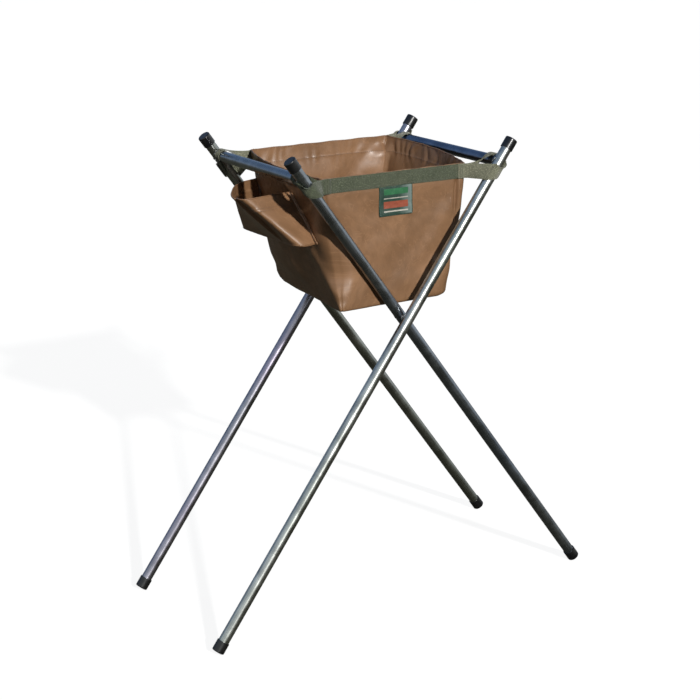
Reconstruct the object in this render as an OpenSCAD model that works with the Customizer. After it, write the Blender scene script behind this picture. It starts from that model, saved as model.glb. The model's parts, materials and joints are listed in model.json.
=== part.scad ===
// Folding basin stand. Two tube frames cross like scissors, and a sewn basin hangs between their top rails.
// X runs from the left rail to the right rail, Y from the front to the rear, and Z up from the ground.
// The left frame carries the left rail and stands on the right feet. The right frame is the same frame
// turned half round about Z, so at each crossing one leg is beside the basin and the other is outside it.

/* [Frames] */
// Outside diameter of the frame tubes
tube_d = 19; // [18:0.5:20]
// Wall thickness of the frame tubes
tube_wall = 1.2; // [0.8:0.1:2]
// Length of one leg tube without its end caps
leg_length = 1000; // [950:10:1050]
// Lean of the legs from the vertical when the stand is open
leg_lean = 36; // [35:0.5:37]
// Distance between the axes of the two legs of one frame
leg_spacing = 319; // [310:1:330]
// Distance from the top end of a leg tube to its pivot
pivot_from_top = 357; // [350:1:360]
// Distance from the top end of a leg tube to the axis of the rail
rail_from_top = 42; // [38:1:46]

/* [End caps] */
// Wall thickness of a cap's skirt
cap_wall = 1.5; // [1:0.1:2.5]
// Thickness of a cap's closed end
cap_end = 3; // [3:0.5:6]
// Length of a cap's skirt on the tube
cap_skirt = 17; // [12:1:25]
// Rounding of a cap's outer edge
cap_round = 2; // [1:0.5:2.5]

/* [Pivots] */
// Diameter of a pivot stud
stud_d = 6; // [5:0.5:7]
// Radial running clearance of a stud in the leg that turns on it
stud_clearance = 0.05; // [0.02:0.01:0.1]
// Free play along a pivot on each side of the leg that turns on it
end_play = 0.05; // [0.02:0.01:0.2]
// Diameter of a stud's swaged head inside the outer leg
stud_head_d = 9; // [8:0.5:10]
// Thickness of a stud's swaged head
stud_head_t = 2; // [1:0.5:3]
// Distance between the tubes that cross
spacer_t = 1.5; // [1:0.1:3]
// Diameter of the saddle spacer between the tubes that cross
spacer_d = 14; // [12:1:16]
// Diameter of the washer under a nut
washer_d = 12; // [11:0.5:14]
// Thickness of the washer under a nut
washer_t = 1.6; // [1:0.1:2]
// Width of a nut across its flats
nut_flats = 10; // [10:0.5:12]
// Height of a locking nut
nut_h = 6; // [5:0.5:8]
// Length of stud that shows past its nut
stud_tip = 1.5; // [0.5:0.5:3]

/* [Basin] */
// Thickness of the solid that stands for a sewn panel
panel_t = 2; // [1.5:0.5:2.5]
// Gap between the front and rear panels and the legs beside them
panel_gap = 0.75; // [0.5:0.05:3]
// Height of the front rim above the ground
front_rim_z = 780; // [770:1:795]
// Height of the rear rim above the ground
rear_rim_z = 791; // [770:1:795]
// Height of the underside of the basin's floor
floor_z = 550; // [545:1:600]
// Distance from the middle to the rim corner that hangs from a leg beside the basin
rim_near = 146; // [140:1:148]
// Distance from the middle to the rim corner that hangs from a leg outside the basin
rim_far = 135; // [130:1:146]
// Distance from the middle to the floor corner under the near rim corner
floor_near = 113; // [100:1:120]
// Distance from the middle to the floor corner under the far rim corner
floor_far = 105; // [95:1:115]
// How far the rim of a side panel bows out at its middle
side_bulge = 20; // [5:1:24]

/* [Straps] */
// Width of the webbing
web_w = 25; // [20:1:30]
// Thickness of the webbing
web_t = 1.6; // [1.2:0.1:2]
// Gap between a strap loop and the tube it hugs
web_gap = 0.3; // [0.2:0.05:0.6]
// Length of a strap loop between the point where it leaves its leg and its joint with the strap
loop_stub = 4; // [3:0.5:8]
// Gap between a strap and its loop at the joint
seam_gap = 0.3; // [0.2:0.05:1]

/* [Side pocket] */
// Gap between the pocket's sewn edges and the side panel
pocket_gap = 1; // [0.8:0.1:2]
// Height of the pocket's mouth above the ground
pocket_top_z = 744; // [735:1:750]
// Height of the underside of the pocket
pocket_bottom_z = 664; // [650:1:680]
// How far forward the mouth meets the side panel
mouth_front = 48; // [40:1:60]
// How far back the mouth meets the side panel
mouth_rear = 110; // [100:1:120]
// How far forward the pocket's bottom meets the side panel
bottom_front = 91; // [80:1:100]
// How far back the pocket's bottom meets the side panel
bottom_rear = 90; // [80:1:100]
// Distance from the middle of the stand to the mouth's outermost corner
mouth_reach = 262; // [230:1:270]
// Distance from the middle of the stand to the outer edge of the pocket's bottom
bottom_reach = 190; // [180:1:210]

/* [Label] */
// Width of the label patch
label_w = 64; // [50:1:80]
// Height of the label patch
label_h = 49; // [40:1:60]
// Thickness of the label patch
label_t = 0.8; // [0.5:0.1:1.2]
// How far the label's middle lies left of the middle of the stand
label_offset = 4; // [-10:1:10]

/* [Hidden] */
tube_r = tube_d / 2;
cap_r = tube_r + cap_wall;
stud_r = stud_d / 2;
outer_leg_y = (leg_spacing + tube_d + spacer_t) / 2;
inner_leg_y = (leg_spacing - tube_d - spacer_t) / 2;
foot_length = leg_length - pivot_from_top;
foot_end = foot_length + cap_end;
// The rounded lower edge of a foot cap touches the ground, which sets the height of the pivots.
cap_drop = (cap_r - cap_round) * sin(leg_lean) - cap_round * cos(leg_lean) + cap_round;
pivot_z = foot_end * cos(leg_lean) + cap_drop;
rail_along = pivot_from_top - rail_from_top;
rail_x = rail_along * sin(leg_lean);
rail_z = pivot_z + rail_along * cos(leg_lean);
basin_y = inner_leg_y - tube_r - panel_gap;
wall_y = basin_y - panel_t;
// Columns of a side panel, as steps from its front end to its rear end
side_steps = [for (i = [0 : 24]) -1 + i / 12];
// Steps of a strap loop round its leg, from its end behind the leg to the point where it leaves the leg
loop_steps = [for (i = [0 : 10]) i / 10];
loop_end_angle = -165;
cut = 1;

$fn = 64;

// ---- Placing --------------------------------------------------------------------------------------

// The right frame and the rear pivot are the left frame and the front pivot turned half round.
module half_turn() {
  rotate([0, 0, 180]) children();
}

// Puts a leg's own axes, with its pivot at the origin and its top end along +Z, into the left frame.
module along_leg(y) {
  translate([0, y, pivot_z]) rotate([0, -leg_lean, 0]) children();
}

// Points along -Y, with the front pivot's axis at the origin.
module along_front_pivot(y) {
  translate([0, y, pivot_z]) rotate([90, 0, 0]) children();
}

// ---- Frames ---------------------------------------------------------------------------------------

module tube(length) {
  difference() {
    cylinder(r = tube_r, h = length);
    translate([0, 0, -cut]) cylinder(r = tube_r - tube_wall, h = length + 2 * cut);
  }
}

module leg_tube() {
  translate([0, 0, -foot_length]) tube(leg_length);
}

// The leg beside the basin turns on the stud, so the stud's hole goes through both of its walls.
module inner_leg() {
  color("silver") along_leg(-inner_leg_y) difference() {
    leg_tube();
    rotate([90, 0, 0]) cylinder(r = stud_r + stud_clearance, h = tube_d + 2 * cut, center = true);
  }
}

// The leg outside the basin holds the stud in its wall next to the crossing.
module outer_leg() {
  color("silver") along_leg(outer_leg_y) difference() {
    leg_tube();
    rotate([90, 0, 0]) cylinder(r = stud_r, h = tube_d);
  }
}

// The rail is notched round the legs that it is welded to.
module rail() {
  color("silver") difference() {
    translate([-rail_x, outer_leg_y, rail_z]) rotate([90, 0, 0]) tube(leg_spacing);
    along_leg(-inner_leg_y) translate([0, 0, rail_along - tube_d]) cylinder(r = tube_r, h = 2 * tube_d);
    along_leg(outer_leg_y) translate([0, 0, rail_along - tube_d]) cylinder(r = tube_r, h = 2 * tube_d);
  }
}

// A push-on cap, with its skirt below z = 0 and its closed end above.
module cap() {
  color([0.07, 0.07, 0.08]) rotate_extrude() difference() {
    union() {
      translate([0, -cap_skirt]) square([cap_r, cap_skirt + cap_end - cap_round]);
      square([cap_r - cap_round, cap_end]);
      translate([cap_r - cap_round, cap_end - cap_round]) circle(r = cap_round);
    }
    translate([0, -cap_skirt - cut]) square([tube_r, cap_skirt + cut]);
    translate([-cap_r, -cap_skirt]) square([cap_r, 2 * cap_skirt]);
  }
}

module top_cap(y) {
  along_leg(y) translate([0, 0, pivot_from_top]) cap();
}

module foot_cap(y) {
  along_leg(y) translate([0, 0, -foot_length]) mirror([0, 0, 1]) cap();
}

// ---- Pivots ---------------------------------------------------------------------------------------
// The front pivot's stud is fixed in the right frame's leg, and the left frame's leg turns on it.

// The stud's head rests across the curved inside wall of the outer leg.
module pivot_stud() {
  bore_r = tube_r - tube_wall;
  head_y = outer_leg_y - sqrt(pow(bore_r, 2) - pow(stud_head_d / 2, 2));
  tip_y = inner_leg_y - tube_r - end_play - washer_t - nut_h - stud_tip;
  color("gainsboro") union() {
    along_front_pivot(-tip_y) cylinder(r = stud_r, h = head_y + stud_head_t - tip_y);
    along_front_pivot(-head_y) cylinder(d = stud_head_d, h = stud_head_t);
  }
}

// A saddle on the outer leg's side and flat on the side of the leg that turns.
module pivot_spacer() {
  color("white") difference() {
    along_front_pivot(-inner_leg_y - tube_r - end_play) cylinder(d = spacer_d, h = spacer_t + tube_r / 2);
    along_front_pivot(-inner_leg_y) cylinder(r = stud_r + stud_clearance, h = 3 * tube_r);
    half_turn() along_leg(outer_leg_y) cylinder(r = tube_r, h = 2 * spacer_d, center = true);
  }
}

module pivot_washer() {
  washer_y = inner_leg_y - tube_r - end_play;
  color("silver") difference() {
    along_front_pivot(-washer_y + washer_t) cylinder(d = washer_d, h = washer_t);
    along_front_pivot(-washer_y + washer_t + cut)
      cylinder(r = stud_r + stud_clearance, h = washer_t + 2 * cut);
  }
}

module pivot_nut() {
  nut_y = inner_leg_y - tube_r - end_play - washer_t;
  color("silver") difference() {
    along_front_pivot(-nut_y + nut_h) cylinder(d = nut_flats / cos(30), h = nut_h, $fn = 6);
    along_front_pivot(-nut_y + nut_h + cut) cylinder(r = stud_r, h = nut_h + 2 * cut);
  }
}

// ---- Basin ----------------------------------------------------------------------------------------

// A closed sheet between four rows of points: the upper and lower edges of its outer face, then those of
// its inner face. The rows run from left to right as seen from outside.
module sheet(upper, lower, inner_upper, inner_lower) {
  n = len(upper);
  quads = concat(
    [for (i = [0 : n - 2]) [i + 1, n + i + 1, n + i, i]],
    [for (i = [0 : n - 2]) [2 * n + i + 1, 2 * n + i, 3 * n + i, 3 * n + i + 1]],
    [for (i = [0 : n - 2]) [i + 1, i, 2 * n + i, 2 * n + i + 1]],
    [for (i = [0 : n - 2]) [n + i, n + i + 1, 3 * n + i + 1, 3 * n + i]],
    [[0, n, 3 * n, 2 * n], [n - 1, 3 * n - 1, 4 * n - 1, 2 * n - 1]]
  );
  triangles = [for (q = quads) each [[q[0], q[1], q[2]], [q[0], q[2], q[3]]]];
  polyhedron(points = concat(upper, lower, inner_upper, inner_lower), faces = triangles);
}

function mix(a, b, t) = a + (b - a) * t;

// Height of the left panel's rim at y, and its outer face at y and z
function rim_z(y) = mix(front_rim_z, rear_rim_z, (y + wall_y) / (2 * wall_y));
function left_x(y, z) = let (
    along = (y + wall_y) / (2 * wall_y),
    up = (z - floor_z) / (rim_z(y) - floor_z),
    rim_x = mix(rim_near, rim_far, along) + side_bulge * (1 - pow(y / wall_y, 2)),
    low_x = mix(floor_near, floor_far, along)
  ) -mix(low_x, rim_x, up);

module front_shape(rim) {
  polygon([[-floor_near, floor_z], [floor_far, floor_z], [rim_far, rim], [-rim_near, rim]]);
}

module end_panel(rim) {
  color([0.45, 0.31, 0.22]) translate([0, -wall_y, 0]) rotate([90, 0, 0])
    linear_extrude(height = panel_t) front_shape(rim);
}

module left_wall() {
  ys = [for (s = side_steps) -s * wall_y];
  color([0.42, 0.29, 0.2]) sheet(
    [for (y = ys) [left_x(y, rim_z(y)), y, rim_z(y)]],
    [for (y = ys) [left_x(y, floor_z), y, floor_z]],
    [for (y = ys) [left_x(y, rim_z(y)) + panel_t, y, rim_z(y)]],
    [for (y = ys) [left_x(y, floor_z) + panel_t, y, floor_z]]
  );
}

// The right wall is the left wall turned half round, with its rim sloping the other way.
module right_wall() {
  ys = [for (s = side_steps) s * wall_y];
  color([0.42, 0.29, 0.2]) sheet(
    [for (y = ys) [-left_x(-y, rim_z(-y)), y, rim_z(y)]],
    [for (y = ys) [-left_x(-y, floor_z), y, floor_z]],
    [for (y = ys) [-left_x(-y, rim_z(-y)) - panel_t, y, rim_z(y)]],
    [for (y = ys) [-left_x(-y, floor_z) - panel_t, y, floor_z]]
  );
}

module floor_plate() {
  color([0.4, 0.28, 0.2]) translate([0, 0, floor_z]) linear_extrude(height = panel_t) polygon([
    [-floor_near + panel_t, -wall_y], [floor_far - panel_t, -wall_y],
    [floor_near - panel_t, wall_y], [-floor_far + panel_t, wall_y]
  ]);
}

// ---- Straps ---------------------------------------------------------------------------------------

// A level cut through a leaning leg is an ellipse, so the webbing's way round it is worked out on a unit
// circle. Both functions look at the front left corner, where the leg's top end leans to -X.
function leg_point(leg_y, z, offset, a) = [
    -(z - pivot_z) * tan(leg_lean) + (tube_r + web_gap + offset) / cos(leg_lean) * cos(a),
    -leg_y + (tube_r + web_gap + offset) * sin(a),
    z
  ];
function rim_corner(rim_x, z, offset) = [-rim_x, -basin_y - offset, z];
// Angle at which webbing pulled tight from the rim's corner touches the leg
function touch_angle(leg_y, rim_x, z, offset) = let (
    reach = rim_corner(rim_x, z, offset) - leg_point(leg_y, z, offset, 0),
    u = reach[0] / (tube_r + web_gap + offset) * cos(leg_lean) + 1,
    v = reach[1] / (tube_r + web_gap + offset)
  ) atan2(v, u) - acos(1 / norm([u, v]));
// A point on the webbing at distance d from the leg, on its straight way to the rim's corner
function off_leg(leg_y, rim_x, z, offset, d) = let (
    touch = leg_point(leg_y, z, offset, touch_angle(leg_y, rim_x, z, offset)),
    corner = rim_corner(rim_x, z, offset)
  ) touch + d * (corner - touch) / norm(corner - touch);

// One edge of a strap loop, from its end behind the leg, round the leg, to its joint with the strap
function loop_edge(leg_y, rim_x, z, offset) = concat(
    [for (s = loop_steps)
      leg_point(leg_y, z, offset, mix(loop_end_angle, touch_angle(leg_y, rim_x, z, offset), s))],
    [off_leg(leg_y, rim_x, z, offset, loop_stub)]
  );

module strap_loop(leg_y, rim_x, rim) {
  color([0.42, 0.42, 0.32]) sheet(
    loop_edge(leg_y, rim_x, rim, web_t),
    loop_edge(leg_y, rim_x, rim - web_w, web_t),
    loop_edge(leg_y, rim_x, rim, 0),
    loop_edge(leg_y, rim_x, rim - web_w, 0)
  );
}

// One edge of a strap: from the leg beside the basin, along the panel, to the leg outside the basin
function strap_edge(z, offset) = [
    off_leg(inner_leg_y, rim_near, z, offset, loop_stub + seam_gap),
    rim_corner(rim_near, z, offset),
    mirrored(rim_corner(rim_far, z, offset)),
    mirrored(off_leg(outer_leg_y, rim_far, z, offset, loop_stub + seam_gap))
  ];
function mirrored(p) = [-p[0], p[1], p[2]];

module strap(rim) {
  color([0.36, 0.38, 0.28]) sheet(
    strap_edge(rim, web_t),
    strap_edge(rim - web_w, web_t),
    strap_edge(rim, 0),
    strap_edge(rim - web_w, 0)
  );
}

// ---- Side pocket ----------------------------------------------------------------------------------

// Plan outlines of the pocket, from where it leaves the side panel behind to where it meets it in front
mouth_outline = [
  [left_x(mouth_rear, pocket_top_z) - pocket_gap, mouth_rear],
  [-mouth_reach + 74, mouth_rear - 16],
  [-mouth_reach + 17, 0],
  [-mouth_reach, -mouth_front - 18],
  [left_x(-mouth_front, pocket_top_z) - pocket_gap, -mouth_front]
];
bottom_outline = [
  [left_x(bottom_rear, pocket_bottom_z) - pocket_gap, bottom_rear],
  [-bottom_reach, bottom_rear - 25],
  [-bottom_reach + 3, -18],
  [-bottom_reach + 7, -bottom_front - 9],
  [left_x(-bottom_front, pocket_bottom_z) - pocket_gap, -bottom_front]
];
// Points inside the mouth and the bottom, towards which the pocket's wall has its thickness
mouth_middle = [left_x(0, pocket_top_z) - 20, 15];
bottom_middle = [left_x(0, pocket_bottom_z) - 20, 0];

function inwards(points, middle, d) = [for (p = points) p + d * (middle - p) / norm(middle - p)];
function at_z(points, z) = [for (p = points) [p[0], p[1], z]];

module pocket() {
  color([0.47, 0.33, 0.23]) union() {
    sheet(
      at_z(mouth_outline, pocket_top_z),
      at_z(bottom_outline, pocket_bottom_z),
      at_z(inwards(mouth_outline, mouth_middle, 1.5 * panel_t), pocket_top_z),
      at_z(inwards(bottom_outline, bottom_middle, 1.5 * panel_t), pocket_bottom_z)
    );
    translate([0, 0, pocket_bottom_z]) linear_extrude(height = panel_t) polygon(concat(
      inwards(bottom_outline, bottom_middle, panel_t),
      [for (s = side_steps) if (abs(s) < 1) let (y = s * bottom_front)
        [left_x(y, pocket_bottom_z + panel_t) - pocket_gap, y]]
    ));
  }
}

module patch() {
  color([0.12, 0.3, 0.2])
    translate([-label_offset - label_w / 2, -basin_y - label_t, front_rim_z - web_w - label_h])
    cube([label_w, label_t, label_h]);
}

// ---- Nodes ----------------------------------------------------------------------------------------

rail();  // left_rail
inner_leg();  // left_frame_front_leg
outer_leg();  // left_frame_rear_leg
top_cap(-inner_leg_y);  // left_frame_front_top_cap
top_cap(outer_leg_y);  // left_frame_rear_top_cap
foot_cap(-inner_leg_y);  // left_frame_front_foot
foot_cap(outer_leg_y);  // left_frame_rear_foot

half_turn() rail();  // right_rail
half_turn() outer_leg();  // right_frame_front_leg
half_turn() inner_leg();  // right_frame_rear_leg
half_turn() top_cap(outer_leg_y);  // right_frame_front_top_cap
half_turn() top_cap(-inner_leg_y);  // right_frame_rear_top_cap
half_turn() foot_cap(outer_leg_y);  // right_frame_front_foot
half_turn() foot_cap(-inner_leg_y);  // right_frame_rear_foot

pivot_stud();  // front_pivot_stud
pivot_spacer();  // front_pivot_spacer
pivot_washer();  // front_pivot_washer
pivot_nut();  // front_pivot_nut
half_turn() pivot_stud();  // rear_pivot_stud
half_turn() pivot_spacer();  // rear_pivot_spacer
half_turn() pivot_washer();  // rear_pivot_washer
half_turn() pivot_nut();  // rear_pivot_nut

end_panel(front_rim_z);  // front_panel
half_turn() end_panel(rear_rim_z);  // rear_panel
left_wall();  // left_panel
right_wall();  // right_panel
floor_plate();  // floor_panel
strap(front_rim_z);  // front_strap
half_turn() strap(rear_rim_z);  // rear_strap
strap_loop(inner_leg_y, rim_near, front_rim_z);  // front_left_strap_loop
mirror([1, 0, 0]) strap_loop(outer_leg_y, rim_far, front_rim_z);  // front_right_strap_loop
half_turn() mirror([1, 0, 0]) strap_loop(outer_leg_y, rim_far, rear_rim_z);  // rear_left_strap_loop
half_turn() strap_loop(inner_leg_y, rim_near, rear_rim_z);  // rear_right_strap_loop
pocket();  // side_pocket
patch();  // label_patch
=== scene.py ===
import json
import math

import bmesh
import bpy
import numpy as np
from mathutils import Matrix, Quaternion, Vector, noise


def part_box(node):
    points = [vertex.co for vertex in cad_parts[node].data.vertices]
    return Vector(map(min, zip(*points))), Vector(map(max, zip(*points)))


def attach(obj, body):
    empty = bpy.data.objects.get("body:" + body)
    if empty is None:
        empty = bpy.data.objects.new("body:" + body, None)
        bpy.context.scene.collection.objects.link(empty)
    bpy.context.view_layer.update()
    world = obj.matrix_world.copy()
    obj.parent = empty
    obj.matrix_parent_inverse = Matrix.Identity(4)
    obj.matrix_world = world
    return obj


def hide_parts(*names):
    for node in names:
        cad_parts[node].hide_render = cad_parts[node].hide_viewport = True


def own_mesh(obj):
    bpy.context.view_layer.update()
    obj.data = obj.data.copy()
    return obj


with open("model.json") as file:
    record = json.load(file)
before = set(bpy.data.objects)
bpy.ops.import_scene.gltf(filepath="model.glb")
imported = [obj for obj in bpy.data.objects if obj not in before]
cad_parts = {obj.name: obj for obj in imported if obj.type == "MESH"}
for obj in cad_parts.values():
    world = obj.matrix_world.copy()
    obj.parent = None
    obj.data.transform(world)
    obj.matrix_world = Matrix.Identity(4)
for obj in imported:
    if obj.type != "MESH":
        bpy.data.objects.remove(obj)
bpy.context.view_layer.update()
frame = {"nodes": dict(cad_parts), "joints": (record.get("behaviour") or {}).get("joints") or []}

MM = 0.001
UV = "Along"
nodes = frame["nodes"]


# ---- Places read from the CAD ----------------------------------------------------------------------

def row_x(node, z):
    """Lowest and highest X of a node's vertices at height z."""
    xs = [v.co.x for v in nodes[node].data.vertices if abs(v.co.z - z) < 0.1 * MM]
    return min(xs), max(xs)


def lean_of(node):
    """Angle between a long straight node and the vertical."""
    points = np.array([v.co for v in nodes[node].data.vertices], float)
    _, _, basis = np.linalg.svd(points - points.mean(0), full_matrices=False)
    direction = Vector(basis[0]).normalized()
    return math.atan2(abs(direction.x), abs(direction.z))


front_low, front_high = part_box("front_panel")
FRONT_RIM, REAR_RIM = front_high.z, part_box("rear_panel")[1].z
FLOOR_Z = front_low.z
FACE_Y = -front_low.y
front_rim, front_foot = row_x("front_panel", FRONT_RIM), row_x("front_panel", FLOOR_Z)
rear_rim, rear_foot = row_x("rear_panel", REAR_RIM), row_x("rear_panel", FLOOR_Z)
BULGE = -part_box("left_panel")[0].x + (front_rim[0] + rear_rim[0]) / 2
# Rounded width and height of a panel, which turn shares of it into lengths
PANEL_W, PANEL_H = 0.27, 0.23

rail_low, rail_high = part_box("left_rail")
RAIL_X = -(rail_low.x + rail_high.x) / 2
RAIL_Z = (rail_low.z + rail_high.z) / 2
TUBE_R = (rail_high.x - rail_low.x) / 2
INNER_LEG_Y, OUTER_LEG_Y = [-sum(end.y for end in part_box(leg)) / 2
                            for leg in ("left_frame_front_leg", "right_frame_front_leg")]
LEAN = lean_of("left_frame_front_leg")
PIVOT_Z = frame["joints"][0]["pos_m"][2]
strap_low, strap_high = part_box("front_strap")
WEB_W = strap_high.z - strap_low.z
WEB_T = 1.5 * MM
WEB_GAP = 0.3 * MM
# Lift of webbing that lies on another layer
SECOND_LAYER = WEB_T + 0.2 * MM
# Width of the webbing along the rail, and its distance from the leg
RAIL_WEB_W, RAIL_WEB_OFF = 17 * MM, 1.5 * MM
FABRIC_T = 0.9 * MM


# ---- Small helpers ---------------------------------------------------------------------------------

def ease(a, b, t):
    """0 up to a, 1 from b on, and smooth between. It also runs backwards, with b below a."""
    t = min(max((t - a) / (b - a), 0.0), 1.0)
    return t * t * (3 - 2 * t)


def mix(a, b, t):
    return a + (b - a) * t


def bend(a, b, c, t):
    """Point at t on the curve that leaves a towards b and ends at c."""
    return a * (1 - t) ** 2 + b * 2 * t * (1 - t) + c * t * t


def between(stops, t):
    """Smooth value at t through (t, value) stops."""
    for (t0, v0), (t1, v1) in zip(stops, stops[1:]):
        if t <= t1:
            return mix(v0, v1, ease(t0, t1, t))
    return stops[-1][1]


def bell(t, width):
    return math.exp(-(t / width) ** 2)


def wobble(x, y, z):
    return noise.noise(Vector((x, y, z)))


def rough_noise(p, scale, seed):
    return wobble(p[0] * scale + seed, p[1] * scale - seed, p[2] * scale + 2 * seed)


def lengths_along(points):
    total, out = 0.0, [0.0]
    for a, b in zip(points, points[1:]):
        total += (b - a).length
        out.append(total)
    return out


def grid(rows, us, vs, closed=False):
    """Vertices, faces and corner UVs of rows of points. A closed grid joins its last column to its first."""
    columns = len(rows[0])
    faces, uvs = [], []
    for r in range(len(rows) - 1):
        for c in range(columns if closed else columns - 1):
            d = (c + 1) % columns
            upper, lower = r * columns, (r + 1) * columns
            faces.append((upper + c, lower + c, lower + d, upper + d))
            uvs.append(((us[c], vs[r]), (us[c], vs[r + 1]), (us[c + 1], vs[r + 1]), (us[c + 1], vs[r])))
    return [point for row in rows for point in row], faces, uvs


def piece(name, verts, faces, uvs, look, slot_name):
    """A smooth piece with one material. Its slot name is not used, and its corner UVs may be None."""
    mesh = bpy.data.meshes.new(name)
    mesh.from_pydata([tuple(v) for v in verts], [], faces)
    if uvs:
        layer = mesh.uv_layers.new(name=UV)
        layer.data.foreach_set("uv", [value for face in uvs for corner in face for value in corner])
    mesh.polygons.foreach_set("use_smooth", [True] * len(mesh.polygons))
    mesh.materials.append(look)
    mesh.update()
    obj = bpy.data.objects.new(name, mesh)
    bpy.context.scene.collection.objects.link(obj)
    return obj


def outward(obj):
    """Turns every face of a closed piece outwards."""
    bm = bmesh.new()
    bm.from_mesh(obj.data)
    bmesh.ops.recalc_face_normals(bm, faces=bm.faces)
    bm.to_mesh(obj.data)
    bm.free()
    return obj


def soft(obj):
    """A piece of the basin: it goes with the basin, with a mesh of its own."""
    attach(obj, "basin")
    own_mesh(obj)
    return obj


def solidify(obj, thickness, offset):
    modifier = obj.modifiers.new("thickness", "SOLIDIFY")
    modifier.thickness = thickness
    modifier.offset = offset


# ---- Materials -------------------------------------------------------------------------------------

class Nodes:
    """A node tree, and short ways to add nodes to it."""

    def __init__(self, tree):
        self.tree = tree

    def add(self, kind, inputs=None, out=0, **settings):
        node = self.tree.nodes.new("ShaderNode" + kind)
        for key, value in settings.items():
            setattr(node, key, value)
        for key, value in (inputs or {}).items():
            if isinstance(value, bpy.types.NodeSocket):
                self.tree.links.new(value, node.inputs[key])
            else:
                node.inputs[key].default_value = value
        return node.outputs[out]

    def math(self, operation, a, b=0.0, c=0.0):
        return self.add("Math", {0: a, 1: b, 2: c}, operation=operation)

    def scaled(self, value, factor, offset):
        return self.math("MULTIPLY_ADD", value, factor, offset)

    def wave(self, value, pitch):
        return self.math("SINE", self.math("MULTIPLY", value, 2 * math.pi / pitch))

    def noise(self, vector, scale, detail=3.0, rough=0.55, distortion=0.0):
        return self.add("TexNoise", {"Vector": vector, "Scale": scale, "Detail": detail, "Roughness": rough,
                                     "Distortion": distortion})

    def ramp_node(self, factor, stops, interpolation="LINEAR"):
        """A colour ramp through (place, colour with alpha) stops."""
        node = self.tree.nodes.new("ShaderNodeValToRGB")
        node.color_ramp.interpolation = interpolation
        self.tree.links.new(factor, node.inputs[0])
        elements = node.color_ramp.elements
        while len(elements) < len(stops):
            elements.new(0.5)
        for element, (place, colour) in zip(elements, stops):
            element.position = place
            element.color = colour
        return node

    def ramp(self, factor, *stops):
        """A colour that follows the factor, through (place, colour or grey) stops."""
        full = [(place, (*value, 1) if isinstance(value, tuple) else (value, value, value, 1))
                for place, value in stops]
        return self.ramp_node(factor, full).outputs[0]

    def blend(self, factor, a, b, mode="MIX"):
        a, b = [(*value, 1) if isinstance(value, tuple) else value for value in (a, b)]
        return self.add("Mix", {0: factor, 6: a, 7: b}, out=2, data_type="RGBA", blend_type=mode)


class Look(Nodes):
    """A material with a Principled shader, whose constant inputs are given with _ for a space."""

    def __init__(self, name, **constants):
        self.material = bpy.data.materials.new(name)
        self.material.use_nodes = True
        super().__init__(self.material.node_tree)
        self.shader = self.tree.nodes["Principled BSDF"]
        for key, value in constants.items():
            self.shader.inputs[key.replace("_", " ")].default_value = value

    def object_point(self, turn=(0, 0, 0), scale=(1, 1, 1)):
        point = self.add("TexCoord", out="Object")
        return self.add("Mapping", {"Vector": point, "Rotation": turn, "Scale": scale})

    def along(self):
        """U and V in metres along a piece, and both as a vector."""
        point = self.add("UVMap", uv_map=UV)
        split = self.tree.nodes.new("ShaderNodeSeparateXYZ")
        self.tree.links.new(point, split.inputs[0])
        return split.outputs[0], split.outputs[1], point

    def bump(self, height, distance, strength, below=None):
        inputs = {"Height": height, "Distance": distance, "Strength": strength}
        if below is not None:
            inputs["Normal"] = below
        return self.add("Bump", inputs)

    def surface(self, colour, roughness=None, bump=None):
        """Joins the given sockets to the shader. Gives the material."""
        for key, socket in (("Base Color", colour), ("Roughness", roughness), ("Normal", bump)):
            if socket is not None:
                self.tree.links.new(socket, self.shader.inputs[key])
        return self.material


def shade(tone, factor, lift=0.0):
    """A colour with every channel scaled, then lifted, and held at 1."""
    return tuple(min(1.0, factor * c + lift) for c in tone)


def steel_look(name, lean, tone, tint, seed):
    """Zinc-plated tube that leans by an angle about Y: streaks drawn along it, stains and dull patches."""
    look = Look(name, Metallic=1.0)
    point = look.object_point(turn=(0, lean, 0))
    shifted = look.add("VectorMath", {0: point, 1: (seed, 2 * seed, 3 * seed)}, operation="ADD")
    streak_point = look.add("VectorMath", {0: shifted, 1: (900, 900, 9)}, operation="MULTIPLY")
    streaks = look.noise(streak_point, 1.0, 3.0)
    stains = look.noise(shifted, 22.0, 5.0, 0.62, 0.6)
    patches = look.noise(shifted, 6.0, 3.0)
    specks = look.noise(shifted, 420.0, 2.0)
    colour = look.blend(look.ramp(stains, (0.38, 0.0), (0.66, 1.0)), shade(tone, 0.55), tone)
    colour = look.blend(look.ramp(patches, (0.42, 0.0), (0.72, 0.75)), colour, tint)
    colour = look.blend(look.ramp(streaks, (0.35, 0.45), (0.6, 0.0)), colour, shade(tone, 0.35))
    colour = look.blend(look.ramp(specks, (0.66, 0.0), (0.74, 0.5)), colour, (0.12, 0.11, 0.10))
    roughness = look.scaled(stains, 0.30, look.scaled(streaks, 0.10, 0.08))
    bump = look.bump(streaks, 0.05 * MM, 0.5)
    return look.surface(colour, roughness, look.bump(stains, 0.2 * MM, 0.35, bump))


def fastener_look():
    look = Look("zinc_fastener", Metallic=1.0)
    wear = look.noise(look.object_point(), 260.0, 4.0)
    colour = look.ramp(wear, (0.3, (0.38, 0.37, 0.33)), (0.7, (0.66, 0.66, 0.64)))
    return look.surface(colour, look.scaled(wear, 0.3, 0.2), look.bump(wear, 0.1 * MM, 0.4))


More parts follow.
